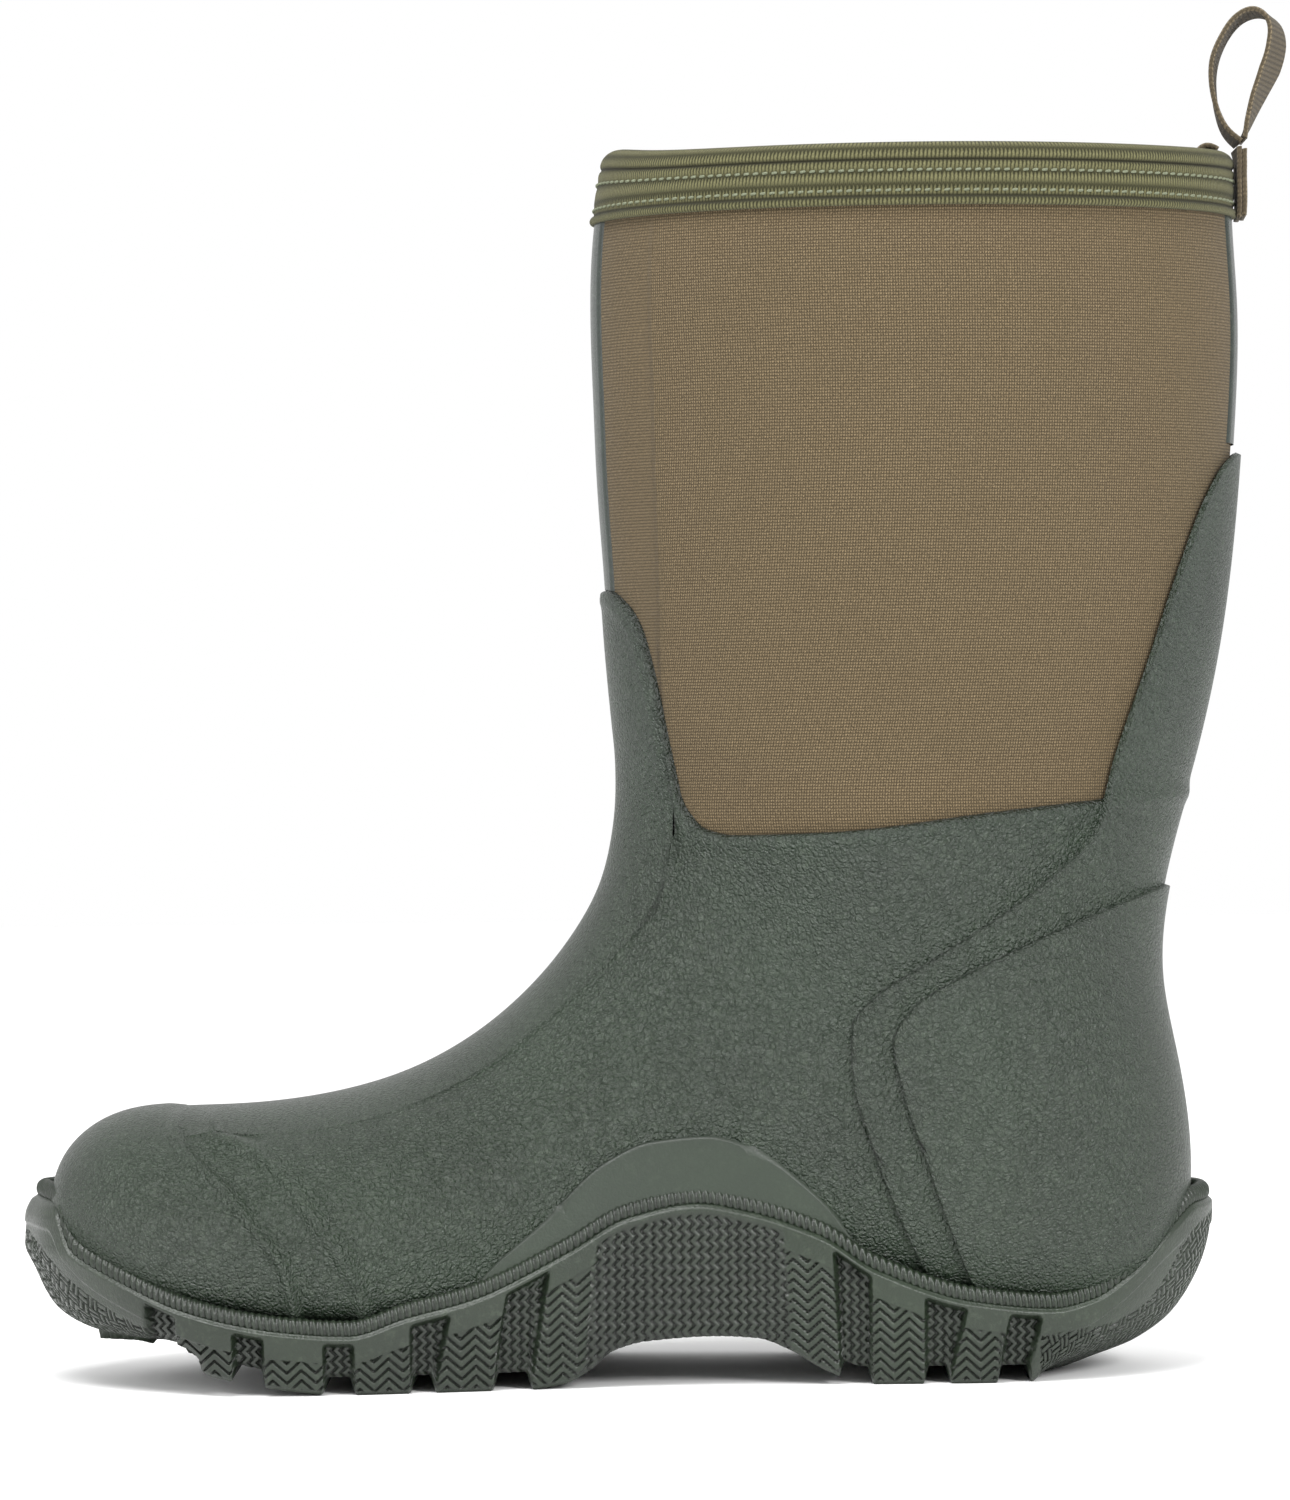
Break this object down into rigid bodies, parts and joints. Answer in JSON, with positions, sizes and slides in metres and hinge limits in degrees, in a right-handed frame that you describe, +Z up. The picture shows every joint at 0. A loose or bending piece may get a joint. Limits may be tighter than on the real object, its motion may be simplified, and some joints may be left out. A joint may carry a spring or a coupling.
{
  "type": "insulated rubber boot",
  "caption": "Slip-on insulated rubber boot: neoprene shaft with a knit band and a webbing pull loop, rubber foot with patches, lugged sole and a removable footbed.",
  "frame": {"origin": "on the ground, at the middle of the boot's footprint box", "axes": "-X towards the toe, +Y towards the outer side of the foot (this is the right boot), +Z up along the shaft"},
  "size_m": [0.3344, 0.1153, 0.3581],
  "materials": {
    "sole_rubber": "matt moulded rubber",
    "rubber": "matt, fine leather grain",
    "smooth_rubber": "matt, smooth",
    "neoprene": "jersey-faced neoprene",
    "lining": "brushed jersey",
    "binding": "ribbed knit",
    "thread": "sewing thread",
    "tape": "smooth seam tape",
    "webbing": "grosgrain webbing",
    "midsole_foam": "closed-cell foam",
    "board": "fibre board",
    "footbed_foam": "insulating foam",
    "footbed_cloth": "brushed cloth"
  },
  "bodies": {
    "boot": {"outsole": "sole_rubber", "midsole": "midsole_foam", "insole_board": "board", "neoprene_foot": "neoprene", "shaft_panel_inner": "neoprene", "shaft_panel_outer": "neoprene", "lining": "lining", "galosh": "rubber", "toe_cap": "rubber", "arch_patch_inner": "smooth_rubber", "arch_patch_outer": "smooth_rubber", "achilles_patch": "smooth_rubber", "heel_counter": "rubber", "rand": "sole_rubber", "front_seam_tape": "tape", "back_seam_tape": "tape", "topline_binding": "binding", "binding_stitch_upper": "thread", "binding_stitch_lower": "thread", "pull_loop_foot": "webbing"},
    "pull_loop": {"pull_loop": "webbing"},
    "footbed": {"footbed": "footbed_foam", "footbed_cover": "footbed_cloth"}
  },
  "joints": [
    {"name": "loop_bend", "type": "hinge", "parent": "boot", "child": "pull_loop", "pos_m": [0.155, 0, 0.3223], "axis": [0, 1, 0], "range_deg": [-45, 80], "stiffness_Nm_per_rad": 0.01},
    {"name": "footbed_lift", "type": "hinge", "parent": "boot", "child": "footbed", "pos_m": [-0.1395, 0, 0.035], "axis": [0, -1, 0], "range_deg": [0, 10]}
  ]
}
